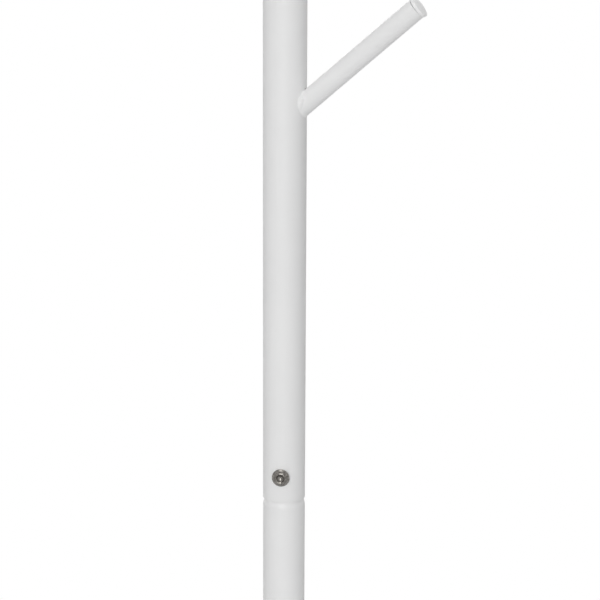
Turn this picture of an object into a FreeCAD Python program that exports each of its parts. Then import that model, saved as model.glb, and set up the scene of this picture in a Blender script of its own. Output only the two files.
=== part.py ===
import FreeCAD
import Part

import math
import os

import Sketcher

# Coat stand: three pole tubes sleeved into each other on a round base plate, with slanted pegs all round.
# The pole stands on the Z axis, the floor is at zero, and the joint screws face -Y.

# Driving dimensions, in millimetres and degrees.
SIZES = {
    # pole tubes
    "pole_diameter": 25.0,
    "pole_wall": 0.8,
    "pole_edge_round": 0.12,
    "lower_length": 574.0,
    # swaged spigot that the next tube sleeves over
    "spigot_length": 60.0,
    "spigot_clearance": 0.15,
    "shoulder_length": 4.6,
    # pegs
    "peg_diameter": 12.0,
    "peg_wall": 1.0,
    "peg_edge_round": 0.15,
    "peg_reach": 100.0,
    "peg_elevation": 40.0,
    "peg_pitch": 100.0,
    "first_peg_height": 224.0,
    "first_peg_azimuth": -12.0,
    "peg_turn": 160.0,
    "peg_to_joint": 50.0,
    "peg_to_top": 124.0,
    # weld bead round each peg's root: its width along the pole, its height off the pole and how far it sags
    "weld_leg": 1.3,
    "weld_rise": 0.8,
    "weld_sag": 0.3,
    # plugs in the open ends of the pegs and of the pole
    "cap_height": 1.7,
    "cap_round": 0.3,
    "cap_lip_round": 0.12,
    "cap_crown": 1.0,
    "cap_overhang": 0.5,
    "cap_stem": 12.0,
    "cap_stem_clearance": 0.3,
    "cap_rib_width": 1.0,
    "top_cap_height": 2.4,
    "top_cap_crown": 1.6,
    "top_cap_stem": 18.0,
    # joint screws and their weld nuts
    "screw_height": 15.5,
    "screw_thread": 6.0,
    "screw_length": 12.0,
    "screw_tip_chamfer": 0.6,
    "screw_head_diameter": 10.5,
    "screw_head_height": 3.3,
    "screw_head_edge": 0.4,
    "screw_socket_width": 4.0,
    "screw_socket_depth": 2.1,
    "screw_socket_mouth": 5.2,
    "screw_mouth_slope": 30.0,
    "screw_hole_clearance": 0.3,
    "thread_clearance": 0.05,
    "nut_width": 10.0,
    "nut_height": 5.0,
    "nut_collar_diameter": 8.0,
    "nut_collar_clearance": 0.1,
    # base
    "plate_diameter": 350.0,
    "plate_thickness": 6.0,
    "plate_round": 2.0,
    "pad_diameter": 22.0,
    "pad_height": 2.5,
    "pad_round": 0.8,
    "pad_inset": 20.0,
    "bolt_thread": 8.0,
    "bolt_length": 28.0,
    "bolt_head_diameter": 16.0,
    "bolt_head_height": 4.4,
    "bolt_head_edge": 0.4,
    "bolt_socket_width": 5.0,
    "bolt_socket_depth": 2.6,
    "bolt_hole_clearance": 0.4,
    "bolt_tip_chamfer": 0.6,
    "insert_length": 30.0,
    "insert_clearance": 0.05,
}
MIDDLE_PEGS = 4
UPPER_PEGS = 5
PAD_COUNT = 6
CAP_RIBS = 3
WELD_ROUND_SHARE = 0.4

# Sizes and places that follow from the driving dimensions.
POLE_RADIUS = "(sizes.pole_diameter / 2)"
BORE_RADIUS = f"({POLE_RADIUS} - sizes.pole_wall)"
SPIGOT_RADIUS = f"({BORE_RADIUS} - sizes.spigot_clearance)"
SPIGOT_BORE = f"({SPIGOT_RADIUS} - sizes.pole_wall)"
PEG_RADIUS = "(sizes.peg_diameter / 2)"
PEG_BORE = f"({PEG_RADIUS} - sizes.peg_wall)"
WELD_PEG_RADIUS = f"({PEG_RADIUS} + sizes.weld_leg)"
WELD_POLE_RADIUS = f"({POLE_RADIUS} + sizes.weld_rise)"
WELD_ROUND = f"{WELD_ROUND_SHARE} * min(sizes.weld_rise; sizes.weld_leg - sizes.weld_sag)"
MIDDLE_LENGTH = f"(sizes.first_peg_height + {MIDDLE_PEGS - 1} * sizes.peg_pitch + sizes.peg_to_joint)"
UPPER_LENGTH = f"(sizes.peg_to_joint + {UPPER_PEGS - 1} * sizes.peg_pitch + sizes.peg_to_top)"
FOOT_Z = "(sizes.pad_height + sizes.plate_thickness)"
LOWER_JOINT_Z = f"({FOOT_Z} + sizes.lower_length)"
UPPER_JOINT_Z = f"({LOWER_JOINT_Z} + {MIDDLE_LENGTH})"
TOP_Z = f"({UPPER_JOINT_Z} + {UPPER_LENGTH})"
NUT_FACE = f"sqrt({SPIGOT_BORE}^2 - (sizes.nut_width / 2)^2)"
FULL_TURN = 360

# Points and axes, as a sketch counts them.
START_INDEX, END_INDEX, CENTRE_INDEX = 1, 2, 3
H_AXIS_INDEX, V_AXIS_INDEX = -1, -2
ORIGIN_INDEXES = (H_AXIS_INDEX, START_INDEX)
# Decimals to which two radii are compared.
RADIUS_DIGITS_COUNT = 3

doc = FreeCAD.newDocument("coat_stand")
sheet = doc.addObject("Spreadsheet::Sheet", "sizes")
for row, (alias, size) in enumerate(SIZES.items(), start=1):
    sheet.set(f"A{row}", str(size))
    sheet.setAlias(f"A{row}", alias)
doc.recompute()

nodes = []


def number(expression):
    return float(sheet.evalExpression(expression))


def bind(sketch, constraint, expression):
    index = sketch.addConstraint(constraint)
    sketch.setExpression(f"Constraints[{index}]", expression)


def pin(sketch, kind, stretch, point, expression):
    # Holds one coordinate of a sketch point, measured from the origin.
    value = number(expression)
    if value == 0:
        axis = V_AXIS_INDEX if kind == "DistanceX" else H_AXIS_INDEX
        sketch.addConstraint(Sketcher.Constraint("PointOnObject", stretch, point, axis))
    elif value > 0:
        bind(sketch, Sketcher.Constraint(kind, *ORIGIN_INDEXES, stretch, point, value), expression)
    else:
        bind(sketch, Sketcher.Constraint(kind, stretch, point, *ORIGIN_INDEXES, -value), f"-({expression})")


def arc_between(here, there, radius, turn):
    first, last = (here, there) if turn == "left" else (there, here)
    chord = last - first
    rise = math.sqrt(max(radius**2 - chord.Length**2 / 4, 0))
    centre = (first + last) / 2 + FreeCAD.Vector(-chord.y, chord.x, 0).normalize() * rise
    angles = [math.atan2(point.y - centre.y, point.x - centre.x) for point in (first, last)]
    return Part.ArcOfCircle(Part.Circle(centre, FreeCAD.Vector(0, 0, 1), radius), *angles)


def draw_outline(sketch, corners):
    # Each corner is (x, y), or (x, y, radius, turn) where an arc leads from it to the next corner.
    points = [FreeCAD.Vector(number(corner[0]), number(corner[1]), 0) for corner in corners]
    following = [(index + 1) % len(corners) for index in range(len(corners))]
    first = sketch.GeometryCount
    ends = []
    for index, corner in enumerate(corners):
        here, there = points[index], points[following[index]]
        if len(corner) == 2:
            sketch.addGeometry(Part.LineSegment(here, there))
            ends.append((START_INDEX, END_INDEX))
        else:
            radius, turn = corner[2:]
            stretch = sketch.addGeometry(arc_between(here, there, number(radius), turn))
            bind(sketch, Sketcher.Constraint("Radius", stretch, number(radius)), radius)
            ends.append((START_INDEX, END_INDEX) if turn == "left" else (END_INDEX, START_INDEX))
    for index, corner in enumerate(corners):
        stretch, after = first + index, first + following[index]
        sketch.addConstraint(
            Sketcher.Constraint("Coincident", stretch, ends[index][1], after, ends[following[index]][0])
        )
        pin(sketch, "DistanceX", stretch, ends[index][0], corner[0])
        pin(sketch, "DistanceY", stretch, ends[index][0], corner[1])


def draw_circle(sketch, x, y, radius):
    centre = FreeCAD.Vector(number(x), number(y), 0)
    circle = sketch.addGeometry(Part.Circle(centre, FreeCAD.Vector(0, 0, 1), number(radius)))
    pin(sketch, "DistanceX", circle, CENTRE_INDEX, x)
    pin(sketch, "DistanceY", circle, CENTRE_INDEX, y)
    bind(sketch, Sketcher.Constraint("Radius", circle, number(radius)), radius)


def draw_hexagon(sketch, width):
    # Width is across the flats, which face along X.
    half = f"{width} / 2"
    low = f"{width} / (2 * sqrt(3))"
    high = f"{width} / sqrt(3)"
    corners = [
        (half, f"-({low})"),
        (half, low),
        ("0", high),
        (f"-({half})", low),
        (f"-({half})", f"-({low})"),
        ("0", f"-({high})"),
    ]
    draw_outline(sketch, corners)


def new_body(label):
    body = doc.addObject("PartDesign::Body", label)
    nodes.append(body)
    return body


def new_sketch(body, name, plane):
    sketch = body.newObject("Sketcher::SketchObject", name)
    supports = [feature for feature in body.Origin.OriginFeatures if feature.Role == plane]
    sketch.AttachmentSupport = [(supports[0], "")]
    sketch.MapMode = "FlatFace"
    return sketch


def turned_body(label, corners):
    # The outline is drawn in X and Z and turned about Z.
    body = new_body(label)
    sketch = new_sketch(body, f"{label}_profile", "XZ_Plane")
    draw_outline(sketch, corners)
    turned = body.newObject("PartDesign::Revolution", f"{label}_turned")
    turned.Profile = sketch
    turned.ReferenceAxis = (sketch, ["V_Axis"])
    turned.Angle = FULL_TURN
    return body


def pad_up(body, sketch, length, downward=False):
    pad = body.newObject("PartDesign::Pad", f"{sketch.Name}_pad")
    pad.Profile = sketch
    pad.Reversed = downward
    pad.setExpression("Length", length)


def place(piece, position, turn):
    piece.setExpression("Placement", f"placement(vector({position}); rotation({turn}))")


# Poles

def pole_outline(length, has_spigot):
    edge = "sizes.pole_edge_round"
    foot = [(BORE_RADIUS, "0"), (f"{POLE_RADIUS} - {edge}", "0", edge, "left"), (POLE_RADIUS, edge)]
    if not has_spigot:
        return foot + [(POLE_RADIUS, length), (BORE_RADIUS, length)]
    # The shoulder is two equal arcs, tangent to the tube, to each other and to the spigot.
    step = "(sizes.pole_wall + sizes.spigot_clearance)"
    shoulder = "sizes.shoulder_length"
    bend = f"({shoulder}^2 + {step}^2) / (4 * {step})"
    start = f"{length} - {shoulder}"
    end = f"{length} + sizes.spigot_length"
    return foot + [
        (POLE_RADIUS, start, bend, "left"),
        (f"{POLE_RADIUS} - {step} / 2", f"{length} - {shoulder} / 2", bend, "right"),
        (SPIGOT_RADIUS, length),
        (SPIGOT_RADIUS, end),
        (SPIGOT_BORE, end),
        (SPIGOT_BORE, length),
        (BORE_RADIUS, start),
    ]


def drill_front(body, name, height, radius):
    sketch = new_sketch(body, f"{name}_circle", "XZ_Plane")
    draw_circle(sketch, "0", height, radius)
    hole = body.newObject("PartDesign::Pocket", name)
    hole.Profile = sketch
    hole.Type = "ThroughAll"
    hole.Reversed = True


def pole(label, length, base_z, sleeved, has_spigot):
    body = turned_body(label, pole_outline(length, has_spigot))
    if sleeved:
        drill_front(
            body,
            f"{label}_screw_hole",
            "sizes.screw_height",
            "sizes.screw_thread / 2 + sizes.screw_hole_clearance",
        )
    if has_spigot:
        drill_front(
            body,
            f"{label}_nut_hole",
            f"{length} + sizes.screw_height",
            "sizes.nut_collar_diameter / 2 + sizes.nut_collar_clearance",
        )
    place(body, f"0; 0; {base_z}", "0; 0; 0")


pole("lower_pole", "sizes.lower_length", FOOT_Z, sleeved=False, has_spigot=True)
pole("middle_pole", MIDDLE_LENGTH, LOWER_JOINT_Z, sleeved=True, has_spigot=True)
pole("upper_pole", UPPER_LENGTH, UPPER_JOINT_Z, sleeved=True, has_spigot=False)


# Joint screws and nuts, drawn along Z with the head outward

def button_screw(label, joint_z):
    thread = "sizes.screw_thread / 2"
    chamfer = "sizes.screw_tip_chamfer"
    head = "sizes.screw_head_diameter / 2"
    edge = "sizes.screw_head_edge"
    height = "sizes.screw_head_height"
    mouth = "sizes.screw_socket_mouth / 2"
    dome_z = f"({height}^2 - {edge}^2 + ({mouth})^2 - ({head})^2) / (2 * ({height} - {edge}))"
    dome = f"sqrt(({head})^2 + ({edge} - {dome_z})^2)"
    body = turned_body(
        label,
        [
            ("0", "-sizes.screw_length"),
            (f"{thread} - {chamfer}", "-sizes.screw_length"),
            (thread, f"{chamfer} - sizes.screw_length"),
            (thread, "0"),
            (head, "0"),
            (head, edge, dome, "left"),
            (mouth, height),
            ("0", f"{height} - {mouth} * tan(sizes.screw_mouth_slope)"),
        ],
    )
    hexagon = new_sketch(body, f"{label}_hexagon", "XY_Plane")
    hexagon.setExpression("AttachmentOffset.Base.z", height)
    draw_hexagon(hexagon, "sizes.screw_socket_width")
    socket = body.newObject("PartDesign::Pocket", f"{label}_socket")
    socket.Profile = hexagon
    socket.setExpression("Length", "sizes.screw_socket_depth")
    place(body, f"0; -{POLE_RADIUS}; {joint_z} + sizes.screw_height", "0; 0; 90")


def weld_nut(label, joint_z):
    # The nut's face bears on the spigot's bore at its two upright edges, and its collar fills the hole there.
    bore = "sizes.screw_thread / 2 + sizes.thread_clearance"
    collar = "sizes.nut_collar_diameter / 2"
    body = new_body(label)
    hexagon = new_sketch(body, f"{label}_hexagon", "XY_Plane")
    draw_hexagon(hexagon, "sizes.nut_width")
    draw_circle(hexagon, "0", "0", bore)
    pad_up(body, hexagon, "sizes.nut_height", downward=True)
    ring = new_sketch(body, f"{label}_collar", "XY_Plane")
    draw_circle(ring, "0", "0", collar)
    draw_circle(ring, "0", "0", bore)
    pad_up(body, ring, f"sqrt({SPIGOT_RADIUS}^2 - ({collar})^2) - {NUT_FACE}")
    place(body, f"0; -{NUT_FACE}; {joint_z} + sizes.screw_height", "0; 0; 90")


for joint, joint_z in (("lower", LOWER_JOINT_Z), ("upper", UPPER_JOINT_Z)):
    button_screw(f"{joint}_joint_screw", joint_z)
    weld_nut(f"{joint}_joint_nut", joint_z)


# Plugs, drawn along Z with the flange's underside at zero

def plug(label, tube_radius, bore_radius, height, crown, stem_length):
    stem = f"({bore_radius} - sizes.cap_stem_clearance)"
    flange = f"({tube_radius} + sizes.cap_overhang)"
    edge = "sizes.cap_round"
    lip = "sizes.cap_lip_round"
    face = f"({flange} - {edge})"
    # The crown is part of a ball, and the flange's round is tangent to it.
    ball = f"(({face}^2 + {crown}^2) / (2 * {crown}))"
    ball_z = f"({height} + {crown} - {ball})"
    round_rise = f"sqrt(({ball} - {edge})^2 - {face}^2)"
    round_share = f"{ball} / ({ball} - {edge})"
    rib_step = f"{stem_length} / {CAP_RIBS + 1}"
    outline = [
        ("0", f"-{stem_length}"),
        (f"{stem} - sizes.cap_stem_clearance", f"-{stem_length}"),
        (stem, f"sizes.cap_stem_clearance - {stem_length}"),
    ]
    for rib in range(CAP_RIBS, 0, -1):
        low = f"-{rib} * {rib_step} - sizes.cap_rib_width / 2"
        high = f"-{rib} * {rib_step} + sizes.cap_rib_width / 2"
        outline += [(stem, low), (bore_radius, low), (bore_radius, high), (stem, high)]
    outline += [
        (stem, "0"),
        (f"{flange} - {lip}", "0", lip, "left"),
        (flange, lip),
        (flange, f"{ball_z} + {round_rise}", edge, "left"),
        (f"{face} * {round_share}", f"{ball_z} + {round_rise} * {round_share}", ball, "left"),
        ("0", f"{height} + {crown}"),
    ]
    return turned_body(label, outline)


top_cap = plug(
    "top_cap", POLE_RADIUS, BORE_RADIUS, "sizes.top_cap_height", "sizes.top_cap_crown", "sizes.top_cap_stem"
)
place(top_cap, f"0; 0; {TOP_Z}", "0; 0; 0")


# Pegs, each in a frame whose Z is the pole's axis and whose X points the way the peg does

def add_cylinder(name, radius, height):
    cylinder = doc.addObject("Part::Cylinder", name)
    cylinder.setExpression("Radius", radius)
    cylinder.setExpression("Height", height)
    return cylinder


def peg_cylinder(name, radius, sag="0"):
    cylinder = add_cylinder(name, radius, "sizes.peg_reach")
    below = f"{sag} * sin(sizes.peg_elevation); 0; -{sag} * cos(sizes.peg_elevation)"
    place(cylinder, below, "0; 90 - sizes.peg_elevation; 0")
    return cylinder


def pole_cylinder(name, radius):
    # A stretch of the pole long enough to cover the peg's root above and below.
    half = f"({radius} * tan(sizes.peg_elevation) + sizes.peg_diameter / cos(sizes.peg_elevation))"
    cylinder = add_cylinder(name, radius, f"2 * {half}")
    place(cylinder, f"0; 0; -{half}", "0; 0; 0")
    return cylinder


def cut(name, base, tool):
    result = doc.addObject("Part::Cut", name)
    result.Base = base
    result.Tool = tool
    return result


def round_edges(name, base, edges, radius):
    rounded = doc.addObject("Part::Fillet", name)
    rounded.Base = base
    rounded.Edges = [(edge, number(radius), number(radius)) for edge in edges]
    return rounded


def same_radius(curve, radius):
    return round(curve.Radius - number(radius), RADIUS_DIGITS_COUNT) == 0


def round_tip(name, tube):
    # Rounds the outer edge of the tube's open end, the higher of its two ends.
    doc.recompute()
    rims = {}
    for index, edge in enumerate(tube.Shape.Edges, start=1):
        if isinstance(edge.Curve, Part.Circle) and same_radius(edge.Curve, PEG_RADIUS):
            rims[edge.Curve.Center.z] = index
    return round_edges(name, tube, [rims[max(rims)]], "sizes.peg_edge_round")


def peg(label):
    outside = peg_cylinder(f"{label}_outside", PEG_RADIUS)
    bore = peg_cylinder(f"{label}_bore", PEG_BORE)
    tube = cut(f"{label}_tube", outside, bore)
    return cut(label, round_tip(f"{label}_rounded", tube), pole_cylinder(f"{label}_cope", POLE_RADIUS))


def outer_edges(bead):
    # Numbers of the edges where the bead's two outer faces meet.
    found = []
    for index, edge in enumerate(bead.Edges, start=1):
        surfaces = [face.Surface for face in bead.ancestorsOfType(edge, Part.Face)]
        if all(
            any(same_radius(surface, radius) for surface in surfaces)
            for radius in (WELD_PEG_RADIUS, WELD_POLE_RADIUS)
        ):
            found.append(index)
    return found


def peg_weld(label):
    # The bead lies in the corner between peg and pole, a little thicker below, with its outer edge rounded.
    corner = doc.addObject("Part::Common", f"{label}_corner")
    corner.Base = peg_cylinder(f"{label}_round_peg", WELD_PEG_RADIUS, "sizes.weld_sag")
    corner.Tool = pole_cylinder(f"{label}_round_pole", WELD_POLE_RADIUS)
    outside = cut(f"{label}_outside", corner, pole_cylinder(f"{label}_pole", POLE_RADIUS))
    bead = cut(f"{label}_bead", outside, peg_cylinder(f"{label}_peg", PEG_RADIUS))
    doc.recompute()
    return round_edges(label, bead, outer_edges(bead.Shape), WELD_ROUND)


middle_heights = [
    f"{LOWER_JOINT_Z} + sizes.first_peg_height + {index} * sizes.peg_pitch" for index in range(MIDDLE_PEGS)
]
upper_heights = [
    f"{UPPER_JOINT_Z} + sizes.peg_to_joint + {index} * sizes.peg_pitch" for index in range(UPPER_PEGS)
]
for index, height in enumerate(middle_heights + upper_heights):
    azimuth = f"sizes.first_peg_azimuth + {index} * sizes.peg_turn"
    for piece in (peg(f"peg_{index + 1}"), peg_weld(f"peg_weld_{index + 1}")):
        nodes.append(piece)
        place(piece, f"0; 0; {height}", f"{azimuth}; 0; 0")
    cap = plug(
        f"peg_cap_{index + 1}", PEG_RADIUS, PEG_BORE, "sizes.cap_height", "sizes.cap_crown", "sizes.cap_stem"
    )
    out = "sizes.peg_reach * cos(sizes.peg_elevation)"
    rise = "sizes.peg_reach * sin(sizes.peg_elevation)"
    place(
        cap,
        f"{out} * cos({azimuth}); {out} * sin({azimuth}); {height} + {rise}",
        f"{azimuth}; 90 - sizes.peg_elevation; 0",
    )


# Base

bolt_radius = "sizes.bolt_thread / 2"
bolt_head = "sizes.bolt_head_diameter / 2"
bolt_hole = f"({bolt_radius} + sizes.bolt_hole_clearance)"
head_slope = f"(sizes.bolt_head_height - sizes.bolt_head_edge) / ({bolt_head} - {bolt_radius})"
plate_radius = "sizes.plate_diameter / 2"
plate_inner = f"{plate_radius} - sizes.plate_round"

base_plate = turned_body(
    "base_plate",
    [
        (bolt_head, "0"),
        (plate_inner, "0", "sizes.plate_round", "left"),
        (plate_radius, "sizes.plate_round"),
        (plate_radius, "sizes.plate_thickness - sizes.plate_round", "sizes.plate_round", "left"),
        (plate_inner, "sizes.plate_thickness"),
        (bolt_hole, "sizes.plate_thickness"),
        (bolt_hole, f"sizes.bolt_head_edge + ({bolt_head} - {bolt_hole}) * {head_slope}"),
        (bolt_head, "sizes.bolt_head_edge"),
    ],
)
place(base_plate, "0; 0; sizes.pad_height", "0; 0; 0")

base_bolt = turned_body(
    "base_bolt",
    [
        ("0", "0"),
        (bolt_head, "0"),
        (bolt_head, "sizes.bolt_head_edge"),
        (bolt_radius, "sizes.bolt_head_height"),
        (bolt_radius, "sizes.bolt_length - sizes.bolt_tip_chamfer"),
        (f"{bolt_radius} - sizes.bolt_tip_chamfer", "sizes.bolt_length"),
        ("0", "sizes.bolt_length"),
    ],
)
bolt_hexagon = new_sketch(base_bolt, "base_bolt_hexagon", "XY_Plane")
draw_hexagon(bolt_hexagon, "sizes.bolt_socket_width")
bolt_socket = base_bolt.newObject("PartDesign::Pocket", "base_bolt_socket")
bolt_socket.Profile = bolt_hexagon
bolt_socket.Reversed = True
bolt_socket.setExpression("Length", "sizes.bolt_socket_depth")
place(base_bolt, "0; 0; sizes.pad_height", "0; 0; 0")

insert_bore = f"{bolt_radius} + sizes.thread_clearance"
insert_outside = f"{BORE_RADIUS} - sizes.insert_clearance"
foot_insert = turned_body(
    "foot_insert",
    [
        (insert_bore, "0"),
        (insert_outside, "0"),
        (insert_outside, "sizes.insert_length"),
        (insert_bore, "sizes.insert_length"),
    ],
)
place(foot_insert, f"0; 0; {FOOT_Z}", "0; 0; 0")

# Six pads alike: one is turned about its own axis, then repeated round the plate.
pad_axis = f"({plate_radius} - sizes.pad_inset)"
pad_edge = f"({pad_axis} + sizes.pad_diameter / 2)"
base_pads = new_body("base_pads")
pad_profile = new_sketch(base_pads, "base_pads_profile", "XZ_Plane")
draw_outline(
    pad_profile,
    [
        (pad_axis, "0"),
        (f"{pad_edge} - sizes.pad_round", "0", "sizes.pad_round", "left"),
        (pad_edge, "sizes.pad_round"),
        (pad_edge, "sizes.pad_height"),
        (pad_axis, "sizes.pad_height"),
    ],
)
outline_axis = "Edge5"  # the outline's last line lies on the pad's own axis
first_pad = base_pads.newObject("PartDesign::Revolution", "base_pads_turned")
first_pad.Profile = pad_profile
first_pad.ReferenceAxis = (pad_profile, [outline_axis])
first_pad.Angle = FULL_TURN
pad_ring = base_pads.newObject("PartDesign::PolarPattern", "base_pads_ring")
pad_ring.Originals = [first_pad]
pad_ring.Axis = (pad_profile, ["V_Axis"])
pad_ring.Angle = FULL_TURN
pad_ring.Occurrences = PAD_COUNT
base_pads.Tip = pad_ring

doc.recompute()


# Checks, then one file for each piece

def check(item):
    if "Invalid" in item.State or "Error" in item.State:
        raise RuntimeError(f"{item.Label} failed: {item.State}")
    if item.TypeId == "PartDesign::Pocket" and item.Shape.Volume >= item.BaseFeature.Shape.Volume:
        raise RuntimeError(f"{item.Label} cuts nothing")


for item in doc.Objects:
    check(item)
for node in nodes:
    count = PAD_COUNT if node is base_pads else 1
    if node.Shape.isNull() or not node.Shape.isValid() or len(node.Shape.Solids) != count:
        raise RuntimeError(f"{node.Label} is not {count} sound solid(s)")

os.makedirs("parts", exist_ok=True)
for node in nodes:
    node.Shape.exportStep(f"parts/{node.Label}.step")
    print(f"{node.Label}: {node.Shape.Volume:.1f} mm3")
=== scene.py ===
import math

import bmesh
import bpy
from mathutils import Matrix, Vector


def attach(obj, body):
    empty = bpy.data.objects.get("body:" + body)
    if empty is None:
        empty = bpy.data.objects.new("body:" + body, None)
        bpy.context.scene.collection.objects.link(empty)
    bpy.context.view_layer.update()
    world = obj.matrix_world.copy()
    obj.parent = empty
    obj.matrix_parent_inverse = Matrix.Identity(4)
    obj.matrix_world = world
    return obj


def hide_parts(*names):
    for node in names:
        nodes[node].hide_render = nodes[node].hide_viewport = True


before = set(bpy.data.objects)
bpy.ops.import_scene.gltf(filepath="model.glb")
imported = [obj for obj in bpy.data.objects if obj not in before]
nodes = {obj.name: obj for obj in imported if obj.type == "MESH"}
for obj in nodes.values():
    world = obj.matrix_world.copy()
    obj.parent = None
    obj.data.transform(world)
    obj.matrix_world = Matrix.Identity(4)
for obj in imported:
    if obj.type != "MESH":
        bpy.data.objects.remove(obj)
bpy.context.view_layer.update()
print("frame:", len(nodes), "nodes")

mm = 0.001


# shader node helpers

# the Mix node's sockets go by number, since each kind of value has an A, a B and a Result of its own
mixKeys = {"FLOAT": (2, 3, 0), "RGBA": (6, 7, 2)}


def feedNode(tree, node, sources):
    # each socket takes another node's output or a plain value
    for key, source in sources.items():
        if isinstance(source, bpy.types.NodeSocket):
            tree.links.new(source, node.inputs[key])
        else:
            node.inputs[key].default_value = source


def addNode(tree, kind, sources=None, **settings):
    node = tree.nodes.new(kind)
    for key, value in settings.items():
        setattr(node, key, value)
    feedNode(tree, node, sources or {})
    return node


def addMath(tree, operation, *values):
    return addNode(tree, "ShaderNodeMath", dict(enumerate(values)), operation=operation).outputs[0]


def addMix(tree, kind, share, first, second):
    firstKey, secondKey, resultKey = mixKeys[kind]
    mix = addNode(tree, "ShaderNodeMix", {0: share, firstKey: first, secondKey: second}, data_type=kind)
    return mix.outputs[resultKey]


def addRange(tree, value, low, high, kind="LINEAR"):
    # 0 at the low value, 1 at the high one
    sources = {"Value": value, "From Min": low, "From Max": high}
    return addNode(tree, "ShaderNodeMapRange", sources, interpolation_type=kind).outputs["Result"]


def newGroup(name, inputs, outputs):
    group = bpy.data.node_groups.new(name, "ShaderNodeTree")
    for label, kind in inputs.items():
        group.interface.new_socket(label, in_out="INPUT", socket_type=kind)
    for label, kind in outputs.items():
        group.interface.new_socket(label, in_out="OUTPUT", socket_type=kind)
    return group, group.nodes.new("NodeGroupInput").outputs, group.nodes.new("NodeGroupOutput")


# node groups shared by the finishes

mottleNoise = {"detail": 4, "roughness": 0.6, "range": (0.3, 0.7)}
grainNoise = {"waveDetail": 1, "gritDetail": 2, "gritTimes": 4}  # the grit is this many times finer
turningNoise = {"strayScale": 900}


def makeMottle(look):
    # slow drift of tone and gloss over the surface
    group, given, made = newGroup(
        "finishMottle",
        {
            "Scale": "NodeSocketFloat",
            "Pale": "NodeSocketColor",
            "Deep": "NodeSocketColor",
            "Smooth": "NodeSocketFloat",
            "Rough": "NodeSocketFloat",
        },
        {"Color": "NodeSocketColor", "Roughness": "NodeSocketFloat"},
    )
    place = addNode(group, "ShaderNodeTexCoord").outputs["Object"]
    cloud = addNode(group, "ShaderNodeTexNoise", {
        "Vector": place,
        "Scale": given["Scale"],
        "Detail": look["detail"],
        "Roughness": look["roughness"],
    })
    share = addRange(group, cloud.outputs["Fac"], *look["range"])
    feedNode(group, made, {
        "Color": addMix(group, "RGBA", share, given["Pale"], given["Deep"]),
        "Roughness": addMix(group, "FLOAT", share, given["Smooth"], given["Rough"]),
    })
    return group


def makeGrain(look):
    # fine bumps of a sprayed or moulded skin: broad waves with a finer grit on them
    group, given, made = newGroup(
        "skinGrain",
        {"Scale": "NodeSocketFloat", "Fine Share": "NodeSocketFloat"},
        {"Height": "NodeSocketFloat"},
    )
    place = addNode(group, "ShaderNodeTexCoord").outputs["Object"]
    wave = addNode(group, "ShaderNodeTexNoise", {
        "Vector": place,
        "Scale": given["Scale"],
        "Detail": look["waveDetail"],
    })
    grit = addNode(group, "ShaderNodeTexNoise", {
        "Vector": place,
        "Scale": addMath(group, "MULTIPLY", given["Scale"], look["gritTimes"]),
        "Detail": look["gritDetail"],
    })
    height = addMix(group, "FLOAT", given["Fine Share"], wave.outputs["Fac"], grit.outputs["Fac"])
    feedNode(group, made, {"Height": height})
    return group


def makeTurning(look):
    # rings left by the cutter, round the piece's own Z axis
    group, given, made = newGroup(
        "turningMarks",
        {"Pitch": "NodeSocketFloat", "Wander": "NodeSocketFloat"},
        {"Height": "NodeSocketFloat"},
    )
    place = addNode(group, "ShaderNodeTexCoord").outputs["Object"]
    flat = addNode(group, "ShaderNodeVectorMath", {0: place, 1: (1, 1, 0)}, operation="MULTIPLY")
    reach = addNode(group, "ShaderNodeVectorMath", {0: flat.outputs["Vector"]}, operation="LENGTH")
    count = addMath(group, "DIVIDE", reach.outputs["Value"], given["Pitch"])
    stray = addNode(group, "ShaderNodeTexNoise", {"Vector": place, "Scale": look["strayScale"]})
    shifted = addMath(group, "MULTIPLY_ADD", stray.outputs["Fac"], given["Wander"], count)
    wave = addMath(group, "PINGPONG", shifted, 0.5)  # up to a half and back for each ring
    feedNode(group, made, {"Height": addMath(group, "MULTIPLY", wave, 2)})
    return group


mottleGroup = makeMottle(mottleNoise)
grainGroup = makeGrain(grainNoise)
turningGroup = makeTurning(turningNoise)


# finishes

def leanShare(tree, lean):
    # 0 where the skin stands upright, 1 where it leans up, as on the shoulder under a sleeve's end
    skin = addNode(tree, "ShaderNodeTexCoord").outputs["Normal"]
    split = addNode(tree, "ShaderNodeSeparateXYZ", {0: skin})
    return addRange(tree, split.outputs["Z"], *lean, kind="SMOOTHSTEP")


def makeFinish(name, look):
    material = bpy.data.materials.new(name)
    material.use_nodes = True
    tree = material.node_tree
    shader = tree.nodes["Principled BSDF"]
    smooth, rough = look["roughness"]
    mottle = addNode(tree, "ShaderNodeGroup", {
        "Scale": look["mottleScale"],
        "Pale": (*look["pale"], 1),
        "Deep": (*look["deep"], 1),
        "Smooth": smooth,
        "Rough": rough,
    }, node_tree=mottleGroup)
    grain = addNode(tree, "ShaderNodeGroup", {
        "Scale": look["grainScale"],
        "Fine Share": look["fineShare"],
    }, node_tree=grainGroup)
    height = grain.outputs["Height"]
    if "turnedPitch" in look:
        turning = addNode(tree, "ShaderNodeGroup", {
            "Pitch": look["turnedPitch"],
            "Wander": look["turnedWander"],
        }, node_tree=turningGroup)
        height = addMix(tree, "FLOAT", look["turnedShare"], height, turning.outputs["Height"])
    bump = addNode(tree, "ShaderNodeBump", {
        "Strength": look["bumpStrength"],
        "Distance": look["bumpDepth"],
        "Height": height,
    })
    roughness = mottle.outputs["Roughness"]
    if "rubbed" in look:
        rubbed = look["rubbed"]
        share = leanShare(tree, rubbed["lean"])
        roughness = addMix(tree, "FLOAT", share, roughness, rubbed["roughness"])
        feedNode(tree, shader, {
            "Coat Weight": share,
            "Coat Roughness": rubbed["roughness"],
            "Coat IOR": rubbed["ior"],
        })
    feedNode(tree, shader, {
        "Base Color": mottle.outputs["Color"],
        "Roughness": roughness,
        "Metallic": look["metallic"],
        "Specular IOR Level": look["specular"],
        "Normal": bump.outputs["Normal"],
    })
    return material


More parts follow.
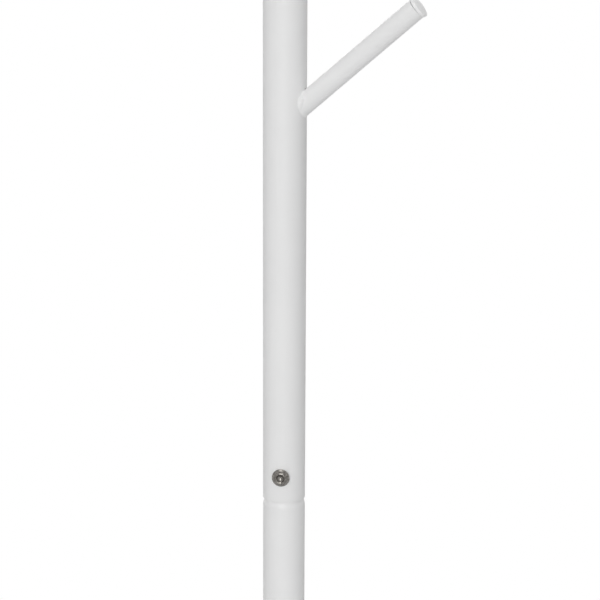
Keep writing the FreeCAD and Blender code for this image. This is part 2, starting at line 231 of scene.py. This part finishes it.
powderLook = {
    "pale": (0.80, 0.80, 0.80),
    "deep": (0.785, 0.785, 0.785),
    "roughness": (0.48, 0.56),
    "mottleScale": 25.0,
    "grainScale": 700.0,
    "fineShare": 0.3,
    "bumpStrength": 0.12,
    "bumpDepth": 0.00006,
    "metallic": 0.0,
    "specular": 0.4,
}
rubbedLook = {"lean": (0.1, 0.36), "roughness": 0.36, "ior": 1.5}  # lean is 0 upright, 1 facing up
powderCoat = makeFinish("powderCoat", powderLook)
poleCoat = makeFinish("poleCoat", {**powderLook, "rubbed": rubbedLook})
textureCoat = makeFinish("textureCoat", {
    "pale": (0.84, 0.84, 0.84),
    "deep": (0.81, 0.81, 0.81),
    "roughness": (0.74, 0.82),
    "mottleScale": 40.0,
    "grainScale": 900.0,
    "fineShare": 0.5,
    "bumpStrength": 0.35,
    "bumpDepth": 0.0001,
    "metallic": 0.0,
    "specular": 0.2,
})
# painted shade: a dark colour for the weld's faces in the crotch, standing in for the shade deep in the
# corner between peg and pole
crotchShade = makeFinish("crotchShade", {
    "pale": (0.24, 0.235, 0.225),
    "deep": (0.12, 0.117, 0.11),
    "roughness": (0.55, 0.7),
    "mottleScale": 400.0,
    "grainScale": 1200.0,
    "fineShare": 0.5,
    "bumpStrength": 0.3,
    "bumpDepth": 0.00006,
    "metallic": 0.0,
    "specular": 0.3,
})
mouldedPlug = makeFinish("mouldedPlug", {
    "pale": (0.86, 0.86, 0.86),
    "deep": (0.84, 0.84, 0.84),
    "roughness": (0.38, 0.46),
    "mottleScale": 60.0,
    "grainScale": 1500.0,
    "fineShare": 0.5,
    "bumpStrength": 0.2,
    "bumpDepth": 0.00003,
    "metallic": 0.0,
    "specular": 0.45,
})
# painted dark reflection: the plate's colour is set far darker than nickel's, standing in for the dark
# surroundings that the screw reflects
darkReflectionNickel = makeFinish("darkReflectionNickel", {
    "pale": (0.29, 0.275, 0.255),
    "deep": (0.075, 0.071, 0.065),
    "roughness": (0.12, 0.2),
    "mottleScale": 1100.0,
    "grainScale": 2500.0,
    "fineShare": 0.4,
    "bumpStrength": 0.5,
    "bumpDepth": 0.00003,
    "metallic": 1.0,
    "specular": 0.5,
    "turnedPitch": 0.0003,
    "turnedWander": 0.8,
    "turnedShare": 0.5,
})
zincPlate = makeFinish("zincPlate", {
    "pale": (0.56, 0.57, 0.58),
    "deep": (0.47, 0.48, 0.50),
    "roughness": (0.32, 0.46),
    "mottleScale": 220.0,
    "grainScale": 2000.0,
    "fineShare": 0.4,
    "bumpStrength": 0.2,
    "bumpDepth": 0.00003,
    "metallic": 1.0,
    "specular": 0.5,
    "turnedPitch": 0.0004,
    "turnedWander": 0.5,
    "turnedShare": 0.6,
})
padRubber = makeFinish("padRubber", {
    "pale": (0.035, 0.035, 0.036),
    "deep": (0.022, 0.022, 0.023),
    "roughness": (0.62, 0.8),
    "mottleScale": 120.0,
    "grainScale": 1800.0,
    "fineShare": 0.6,
    "bumpStrength": 0.4,
    "bumpDepth": 0.00008,
    "metallic": 0.0,
    "specular": 0.3,
})
print("finishes made")


# carried-over nodes

# the pegs come last, since the welds and caps on them have their name too
finishes = {
    "pole": poleCoat,
    "weld": powderCoat,
    "cap": mouldedPlug,
    "screw": darkReflectionNickel,
    "nut": zincPlate,
    "insert": zincPlate,
    "bolt": zincPlate,
    "plate": textureCoat,
    "pads": padRubber,
    "peg": powderCoat,
}


def finishOf(nodeName):
    words = nodeName.split("_")
    return next(finish for word, finish in finishes.items() if word in words)


for nodeName, node in nodes.items():
    node.data.materials.clear()
    node.data.materials.append(finishOf(nodeName))
print("nodes dressed")


# mesh helpers for the detail pieces, in millimetres until they are placed

standLayout = {
    "poleRadius": 12.5,
    "pegRadius": 6.0,
    "pegReach": 100.0,
    "pegElevation": 40.0,
    "pegCount": 9,
    "firstPegHeight": 806.5,
    "pegPitch": 100.0,
    "firstPegAzimuth": -12.0,
    "pegTurn": 160.0,
    "jointHeights": {"lower": 582.5, "upper": 1156.5},
    "topHeight": 1730.5,
}
creaseAngle = 35  # degrees, above which an edge is shaded sharp


def pegFrame(index):
    # X points the way the peg goes, Z is up, and the origin is where its axis crosses the pole's
    layout = standLayout
    height = layout["firstPegHeight"] + layout["pegPitch"] * index
    azimuth = math.radians(layout["firstPegAzimuth"] + layout["pegTurn"] * index)
    return Matrix.Translation((0, 0, height)) @ Matrix.Rotation(azimuth, 4, "Z")


def loftRings(rings, loop=False):
    # a ring of one point closes an end
    points = [point for ring in rings for point in ring]
    firsts = [sum(len(ring) for ring in rings[:index]) for index in range(len(rings))]
    faces = []
    for index in range(len(rings) if loop else len(rings) - 1):
        other = (index + 1) % len(rings)
        low, high = firsts[index], firsts[other]
        lowCount, highCount = len(rings[index]), len(rings[other])
        count = max(lowCount, highCount)
        for step in range(count):
            after = (step + 1) % count
            if lowCount == 1:
                faces.append((low, high + after, high + step))
            elif highCount == 1:
                faces.append((low + step, low + after, high))
            else:
                faces.append((low + step, low + after, high + after, high + step))
    return points, faces


def ringAt(height, reaches):
    # one point for each reach, evenly round Z
    ring = []
    for step, reach in enumerate(reaches):
        turn = 2 * math.pi * step / len(reaches)
        ring.append(Vector((reach * math.cos(turn), reach * math.sin(turn), height)))
    return ring


def turnedRings(outline, steps):
    # the outline's points are (radius, height), and one on the axis closes an end
    return [ringAt(height, [radius] * (steps if radius else 1)) for radius, height in outline]


def arcPoints(centre, radius, start, end, count):
    points = []
    for step in range(count):
        angle = math.radians(start + (end - start) * step / (count - 1))
        points.append((centre[0] + radius * math.cos(angle), centre[1] + radius * math.sin(angle)))
    return points


def smoothStep(low, high, value):
    share = min(max((value - low) / (high - low), 0), 1)
    return share * share * (3 - 2 * share)


def addPiece(name, shape, place, finish, stands):
    points, faces = shape
    mesh = bpy.data.meshes.new(name)
    mesh.from_pydata([point * mm for point in points], [], faces)
    work = bmesh.new()
    work.from_mesh(mesh)
    bmesh.ops.recalc_face_normals(work, faces=work.faces)
    work.to_mesh(mesh)
    work.free()
    mesh.shade_smooth()
    mesh.set_sharp_from_angle(angle=math.radians(creaseAngle))
    mesh.materials.append(finish)
    piece = bpy.data.objects.new(name, mesh)
    bpy.context.scene.collection.objects.link(piece)
    turn = place.to_quaternion().to_matrix().to_4x4()
    piece.matrix_world = Matrix.Translation(place.translation * mm) @ turn
    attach(piece, "root")
    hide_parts(stands)
    return piece


# weld beads at the pegs' roots, laid along both sides and drowned in the coat

weldBead = {
    "stations": 144,
    "profilePoints": 16,
    "poleLeg": 1.6,       # reach over the pole at the sides of the peg
    "pegLeg": 2.8,        # reach along the peg
    "crotchShare": 0.25,  # what is left of both in the crotch
    "underShare": 0.25,   # and under the peg
    "begins": (40, 64),   # degrees round the peg from its top
    "endsAt": (72, 125),
    "lumps": ((33, 9, 0.5), (61, 11, 0.2)),  # degrees from the top, width in degrees, growth
    "lumpStray": 4,       # degrees at most, and different from weld to weld
    "shadeTo": 16,         # painted shade: the crotch is coloured dark as far as this
    "handle": 0.45,       # how far the bead hugs each skin from its toe, as a share of the leg
    "rise": 0.7,
    "ripple": 0.025,
    "rippleCount": 26,
    "rippleBow": 1.5,     # how far the ripples lag at the toes, in radians
    "wander": 0.1,
    "wanderWaves": ((3, 1.0, 1.0), (7, 0.5, 2.3)),  # waves round the peg, size, times the phase
    "phaseStep": 2.4,     # from weld to weld, in radians
    "sunk": 0.05,         # the toes lie this far under the skins
    "buried": 0.3,        # and the back this far behind the corner
}


def degreesFromTop(turn):
    return math.degrees(min(turn, 2 * math.pi - turn))


def rootPoint(turn):
    # where the peg's skin meets the pole's, with the way out of each skin
    layout = standLayout
    poleRadius, pegRadius = layout["poleRadius"], layout["pegRadius"]
    lean = math.radians(layout["pegElevation"])
    side = pegRadius * math.sin(turn)
    out = math.sqrt(poleRadius ** 2 - side ** 2)
    along = (out + pegRadius * math.cos(turn) * math.sin(lean)) / math.cos(lean)
    point = Vector((out, side, along * math.sin(lean) + pegRadius * math.cos(turn) * math.cos(lean)))
    poleOut = Vector((out / poleRadius, side / poleRadius, 0))
    pegOut = Vector((-math.sin(lean) * math.cos(turn), math.sin(turn), math.cos(lean) * math.cos(turn)))
    return point, poleOut, pegOut


def weldRing(turn, phase):
    # a section of the bead, from its toe on the pole to its toe on the peg and back behind the corner
    layout, look = standLayout, weldBead
    point, poleOut, pegOut = rootPoint(turn)
    overPole = (pegOut - pegOut.dot(poleOut) * poleOut).normalized()
    overPeg = (poleOut - poleOut.dot(pegOut) * pegOut).normalized()
    fromTop = degreesFromTop(turn)
    grow, fade = smoothStep(*look["begins"], fromTop), smoothStep(*look["endsAt"], fromTop)
    share = look["crotchShare"] + (1 - look["crotchShare"]) * grow
    share += (look["underShare"] - share) * fade
    stray = look["lumpStray"] * math.sin(phase)
    for degrees, width, growth in look["lumps"]:
        share += growth * math.exp(-((fromTop - degrees - stray) / width) ** 2)
    waves = [size * math.sin(count * turn + times * phase) for count, size, times in look["wanderWaves"]]
    wander = 1 + look["wander"] * sum(waves)
    poleLeg = look["poleLeg"] * share * wander
    pegLeg = look["pegLeg"] * share * wander
    poleToe = point + poleLeg * overPole
    poleToe.xy = poleToe.xy.normalized() * (layout["poleRadius"] - look["sunk"])
    lean = math.radians(layout["pegElevation"])
    pegAxis = Vector((math.cos(lean), 0, math.sin(lean)))
    pegToe = point + pegLeg * overPeg
    centre = pegAxis * pegToe.dot(pegAxis)
    pegToe = centre + (pegToe - centre).normalized() * (layout["pegRadius"] - look["sunk"])
    poleHandle = poleToe - look["handle"] * poleLeg * overPole
    pegHandle = pegToe - look["handle"] * pegLeg * overPeg
    outward = (poleOut + pegOut).normalized()
    ring = []
    for step in range(look["profilePoints"]):
        way = step / (look["profilePoints"] - 1)
        back = 1 - way
        place = (
            back ** 3 * poleToe + 3 * back ** 2 * way * poleHandle
            + 3 * back * way ** 2 * pegHandle + way ** 3 * pegToe
        )
        crown = math.sin(math.pi * way) ** 2
        bow = look["rippleBow"] * (2 * way - 1) ** 2
        ripple = look["ripple"] * math.sin(look["rippleCount"] * turn + bow + phase)
        ring.append(place + (look["rise"] + ripple) * share ** 2 * crown * outward)
    ring.append(point - look["buried"] * outward)
    return ring


def addWeld(index):
    look = weldBead
    turns = [2 * math.pi * station / look["stations"] for station in range(look["stations"])]
    rings = [weldRing(turn, look["phaseStep"] * index) for turn in turns]
    shape = loftRings(rings, loop=True)
    name = f"pegWeld{index + 1}"
    weld = addPiece(name, shape, pegFrame(index), powderCoat, f"peg_weld_{index + 1}")
    # a second material, painted shade, for the faces nearest the crotch
    weld.data.materials.append(crotchShade)
    for face in weld.data.polygons:
        turn = turns[face.index // len(rings[0])]
        if degreesFromTop(turn) < look["shadeTo"]:
            face.material_index = 1


# plugs in the ends of the pegs and of the pole

plugShape = {
    "leadIn": ((0.6, 0), (0.15, 0.25), (0, 0.9)),  # in from the stem's side, up from its end
    "ribHalf": 0.5,
    "ribCrest": (-0.5, 0.2),  # from the rib's middle, in half widths
    "gateRim": (0.12, 0.04),  # width and drop of the rim round the gate's mark
    "gateDraft": 0.1,
    "lipPoints": 5,
    "edgePoints": 8,
    "crownPoints": 10,
}
pegPlug = {
    **plugShape,
    "flangeRadius": 6.5,
    "flangeHeight": 1.7,
    "lipRound": 0.1,
    "edgeRound": 0.3,
    "crown": 1.0,
    "seat": 0.04,         # gap left under the flange
    "stemRadius": 4.7,
    "ribRadius": 4.98,
    "stemLength": 12.0,
    "ribHeights": (-9.6, -6.2, -2.8),
    "gateRadius": 0.9,
    "gateDepth": 0.15,
    "steps": 72,
}
topPlug = {
    **plugShape,
    "flangeRadius": 13.0,
    "flangeHeight": 2.4,
    "lipRound": 0.12,
    "edgeRound": 0.4,
    "crown": 1.6,
    "seat": 0.05,
    "stemRadius": 11.4,
    "ribRadius": 11.68,
    "stemLength": 18.0,
    "ribHeights": (-14.4, -9.3, -4.2),
    "gateRadius": 1.3,
    "gateDepth": 0.2,
    "steps": 96,
}
plugTilts = [3.0, 0.6, -0.8, 0.4, 1.1, -0.5, 0.7, -0.3, 0.9]  # degrees, as plugs pushed in by hand sit


def plugOutline(look):
    stem, rib, length = look["stemRadius"], look["ribRadius"], look["stemLength"]
    flange, height, seat = look["flangeRadius"], look["flangeHeight"], look["seat"]
    lip, edge, crown = look["lipRound"], look["edgeRound"], look["crown"]
    outline = [(0, -length)]
    outline += [(stem - inset, rise - length) for inset, rise in look["leadIn"]]
    half = look["ribHalf"]
    crestLow, crestHigh = look["ribCrest"]
    for middle in look["ribHeights"]:
        outline += [(stem, middle - half), (rib, middle + crestLow * half)]
        outline += [(rib, middle + crestHigh * half), (stem, middle + half)]
    outline += [(stem, seat)]
    outline += arcPoints((flange - lip, seat + lip), lip, -90, 0, look["lipPoints"])
    # the crown is part of a ball, and the flange's edge runs into it
    face = flange - edge
    ball = (face ** 2 + crown ** 2) / (2 * crown)
    ballHeight = height + crown - ball
    roundRise = math.sqrt((ball - edge) ** 2 - face ** 2)
    meet = math.degrees(math.atan2(roundRise, face))
    gate = look["gateRadius"]
    rimWidth, rimDrop = look["gateRim"]
    gateEdge = 90 - math.degrees(math.asin((gate + rimWidth) / ball))
    outline += arcPoints((face, ballHeight + roundRise), edge, 0, meet, look["edgePoints"])
    outline += arcPoints((0, ballHeight), ball, meet, gateEdge, look["crownPoints"])[1:]
    top = outline[-1][1]
    gateFloor = top - look["gateDepth"]
    outline += [(gate, top - rimDrop), (gate - look["gateDraft"], gateFloor), (0, gateFloor)]
    return outline


def plugShell(look):
    return loftRings(turnedRings(plugOutline(look), look["steps"]))


def addPegPlug(index):
    layout = standLayout
    along = Matrix.Rotation(math.radians(90 - layout["pegElevation"]), 4, "Y")
    tilt = math.radians(plugTilts[index])
    hinge = math.copysign(layout["pegRadius"], tilt)
    seat = (
        Matrix.Translation((hinge, 0, layout["pegReach"]))
        @ Matrix.Rotation(tilt, 4, "Y")
        @ Matrix.Translation((-hinge, 0, 0))
    )
    place = pegFrame(index) @ along @ seat
    name = f"pegPlug{index + 1}"
    addPiece(name, plugShell(pegPlug), place, mouldedPlug, f"peg_cap_{index + 1}")


def addTopPlug():
    place = Matrix.Translation((0, 0, standLayout["topHeight"]))
    addPiece("topPlug", plugShell(topPlug), place, mouldedPlug, "top_cap")


# button-head screws of the two joints

jointScrew = {
    "steps": 72,
    "height": 15.5,       # above the end of the sleeve
    "headRadius": 5.25,
    "headHeight": 3.3,
    "land": 0.5,
    "edgeRound": 0.22,
    "edgePoints": 5,
    "bevelInner": 4.3,    # the rim is turned to a bevel from here out
    "domePoints": 14,
    "mouthRadius": 2.9,
    "mouthRound": 0.45,
    "mouthSlope": 50,
    "mouthPoints": 10,
    "socketHalf": 2.0,    # half the width across the flats
    "socketDepth": 2.1,
    "socketTurn": 12,
    "floorCorner": (0.1, 0.96),  # height of the bevel round the floor, and how much floor it leaves
    "dishRadius": 1.8,
    "dishBall": 2.6,      # radius of the ball that the socket's floor is dished to
    "dishEnd": -84,       # degrees on that ball, next to its lowest point
    "dishPoints": 7,
    "shankRadius": 2.98,
    "shankLength": 12.0,
    "threadDepth": 0.5,
    "threadPitch": 1.0,
    "threadRings": 10,    # for each turn
    "valley": (1.25, 3),  # cut at the middle of a valley, capped at 1, and its fall for each pitch
    "runOut": (0.2, 1.6),  # under the head, where the thread begins and where it is full
    "pointDepth": 0.55,
    "pointLength": 0.9,
}


def hexRing(height):
    # the socket's outline: six flats, the first across the start of the turn
    look = jointScrew
    reaches = []
    for step in range(look["steps"]):
        turn = 2 * math.pi * step / look["steps"]
        fromFlat = (math.degrees(turn) + 30) % 60 - 30
        reaches.append(look["socketHalf"] / math.cos(math.radians(fromFlat)))
    return ringAt(height, reaches)


def threadRing(height):
    # a level slice of the shank, where the thread goes once round
    look = jointScrew
    depth = look["threadDepth"] * smoothStep(*look["runOut"], -height)
    lead = look["pointDepth"] * (1 - smoothStep(0, look["pointLength"], height + look["shankLength"]))
    middle, fall = look["valley"]
    reaches = []
    for step in range(look["steps"]):
        phase = (height / look["threadPitch"] - step / look["steps"]) % 1
        cut = min(max(middle - fall * abs(phase - 0.5), 0), 1)
        reaches.append(look["shankRadius"] - max(depth * cut, lead))
    return ringAt(height, reaches)


def screwRings():
    # from the point up the shank, over the head and down into the socket
    look = jointScrew
    head, top, land, edge = look["headRadius"], look["headHeight"], look["land"], look["edgeRound"]
    mouth, ridge, slope = look["mouthRadius"], look["mouthRound"], look["mouthSlope"]
    length = look["shankLength"]
    rings = [[Vector((0, 0, -length))]]
    count = round(length / look["threadPitch"] * look["threadRings"])
    rings += [threadRing(-length * (1 - step / count)) for step in range(count + 1)]
    dome = (head ** 2 + (top - land) ** 2) / (2 * (top - land))  # radius of the button's ball
    bevel = math.degrees(math.asin(look["bevelInner"] / dome))
    meet = math.degrees(math.asin(mouth / (dome - ridge)))
    ridgeHeight = top - dome + (dome - ridge) * math.cos(math.radians(meet))
    outline = arcPoints((head - edge, edge), edge, -90, 0, look["edgePoints"])
    outline += [(head, land)]
    outline += arcPoints((0, top - dome), dome, 90 - bevel, 90 - meet, look["domePoints"])
    outline += arcPoints((mouth, ridgeHeight), ridge, 90 - meet, 90 + slope, look["mouthPoints"])[1:]
    rings += turnedRings(outline, look["steps"])
    mouthEdge, mouthHeight = outline[-1]
    lip = hexRing(mouthHeight)
    for point in lip:
        point.z -= max(mouthEdge - point.xy.length, 0) * math.tan(math.radians(slope))
    floor = top - look["socketDepth"]
    cornerRise, cornerShare = look["floorCorner"]
    corner = [Vector((point.x * cornerShare, point.y * cornerShare, floor)) for point in hexRing(floor)]
    rings += [lip, hexRing(floor + cornerRise), corner]
    ball = look["dishBall"]
    rim = math.degrees(math.acos(look["dishRadius"] / ball))
    centreHeight = floor + ball * math.sin(math.radians(rim))
    dish = arcPoints((0, centreHeight), ball, -rim, look["dishEnd"], look["dishPoints"])
    dish += [(0, centreHeight - ball)]
    rings += turnedRings(dish, look["steps"])
    return rings


def addScrew(level):
    layout, look = standLayout, jointScrew
    shape = loftRings(screwRings())
    place = (
        Matrix.Translation((0, -layout["poleRadius"], layout["jointHeights"][level] + look["height"]))
        @ Matrix.Rotation(math.radians(90), 4, "X")
        @ Matrix.Rotation(math.radians(look["socketTurn"]), 4, "Z")
    )
    addPiece(f"{level}JointScrew", shape, place, darkReflectionNickel, f"{level}_joint_screw")


for index in range(standLayout["pegCount"]):
    addWeld(index)
    addPegPlug(index)
addTopPlug()
for level in standLayout["jointHeights"]:
    addScrew(level)
print("welds, plugs and screws made")


# floor, light and camera

floorLook = {"half": 30.0, "tone": 0.8, "glow": 0.3, "nearRadius": 0.5, "farRadius": 1.1}
worldLook = {"ambient": 0.372, "backdrop": 1.0}
lightAim = (0, 0, 0.8)
studioLights = {
    "frontLight": {"place": (-0.065, -3.2, 0.8), "size": (0.9, 1.1), "power": 19.0},
    "topLight": {"place": (0.07, -0.45, 6.0), "size": (4.0, 1.6), "power": 63.0},
    "highLight": {"place": (-0.15, -7.35, 4.85), "size": (6.0, 4.0), "power": 204.0},  # for the shoulders
    "rearLight": {"place": (-0.49, 3.16, 1.96), "size": (1.4, 1.4), "power": 36.0},
}
cameraView = {
    "lens": 96.58,        # millimetres, as is the sensor
    "sensor": 36,
    "azimuth": 8.84,      # degrees round the pole
    "distance": 0.9147,   # metres from it
    "height": 0.9027,
    "pan": 0.566,
    "pitch": 12.354,
    "roll": 0.255,
}


def backdropRays(tree):
    # 1 for rays that show the surroundings, 0 for rays that only carry light
    path = addNode(tree, "ShaderNodeLightPath").outputs
    seen = addMath(tree, "MAXIMUM", path["Is Camera Ray"], path["Is Glossy Ray"])
    return addMath(tree, "MAXIMUM", seen, path["Is Transmission Ray"])


def makeWorld(look):
    world = bpy.data.worlds.new("studioWorld")
    world.use_nodes = True
    tree = world.node_tree
    white = (1, 1, 1, 1)
    soft = tree.nodes["Background"]
    feedNode(tree, soft, {"Color": white, "Strength": look["ambient"]})
    plain = addNode(tree, "ShaderNodeBackground", {"Color": white, "Strength": look["backdrop"]})
    mix = addNode(tree, "ShaderNodeMixShader", {
        0: backdropRays(tree),
        1: soft.outputs[0],
        2: plain.outputs[0],
    })
    feedNode(tree, tree.nodes["World Output"], {"Surface": mix.outputs[0]})
    bpy.context.scene.world = world


def makeFloor(look):
    # near the stand the floor keeps its shadow, and further out it goes over into the plain backdrop
    half, tone = look["half"], look["tone"]
    mesh = bpy.data.meshes.new("floor")
    corners = [(-half, -half, 0), (half, -half, 0), (half, half, 0), (-half, half, 0)]
    mesh.from_pydata(corners, [], [(0, 1, 2, 3)])
    floor = bpy.data.objects.new("floor", mesh)
    bpy.context.scene.collection.objects.link(floor)
    material = bpy.data.materials.new("paleFloor")
    material.use_nodes = True
    tree = material.node_tree
    tree.nodes.remove(tree.nodes["Principled BSDF"])
    rays = backdropRays(tree)
    matt = addNode(tree, "ShaderNodeBsdfDiffuse", {"Color": (tone, tone, tone, 1)})
    glow = addNode(tree, "ShaderNodeEmission", {"Strength": addMath(tree, "MULTIPLY", rays, look["glow"])})
    near = addNode(tree, "ShaderNodeAddShader", {0: matt.outputs[0], 1: glow.outputs[0]})
    place = addNode(tree, "ShaderNodeTexCoord").outputs["Object"]
    reach = addNode(tree, "ShaderNodeVectorMath", {0: place}, operation="LENGTH").outputs["Value"]
    fade = addRange(tree, reach, look["nearRadius"], look["farRadius"], kind="SMOOTHSTEP")
    white = addNode(tree, "ShaderNodeEmission")
    mix = addNode(tree, "ShaderNodeMixShader", {
        0: addMath(tree, "MULTIPLY", fade, rays),
        1: near.outputs[0],
        2: white.outputs[0],
    })
    feedNode(tree, tree.nodes["Material Output"], {"Surface": mix.outputs[0]})
    mesh.materials.append(material)


def addLight(name, look):
    lamp = bpy.data.lights.new(name, "AREA")
    lamp.shape = "RECTANGLE"
    lamp.size, lamp.size_y = look["size"]
    lamp.energy = look["power"]
    light = bpy.data.objects.new(name, lamp)
    light.location = look["place"]
    light.rotation_euler = (Vector(lightAim) - light.location).to_track_quat("-Z", "Y").to_euler()
    bpy.context.scene.collection.objects.link(light)


def addCamera(view):
    lens = bpy.data.cameras.new("camera")
    lens.lens = view["lens"]
    lens.sensor_width = view["sensor"]
    camera = bpy.data.objects.new("camera", lens)
    bpy.context.scene.collection.objects.link(camera)
    camera.matrix_world = (
        Matrix.Rotation(math.radians(view["azimuth"]), 4, "Z")
        @ Matrix.Translation((0, -view["distance"], view["height"]))
        @ Matrix.Rotation(math.radians(-view["pan"]), 4, "Z")
        @ Matrix.Rotation(math.radians(90 - view["pitch"]), 4, "X")
        @ Matrix.Rotation(math.radians(view["roll"]), 4, "Z")
    )
    bpy.context.scene.camera = camera


makeWorld(worldLook)
makeFloor(floorLook)
for name, look in studioLights.items():
    addLight(name, look)
addCamera(cameraView)
bpy.context.scene.view_settings.view_transform = "Standard"
print("stage set")
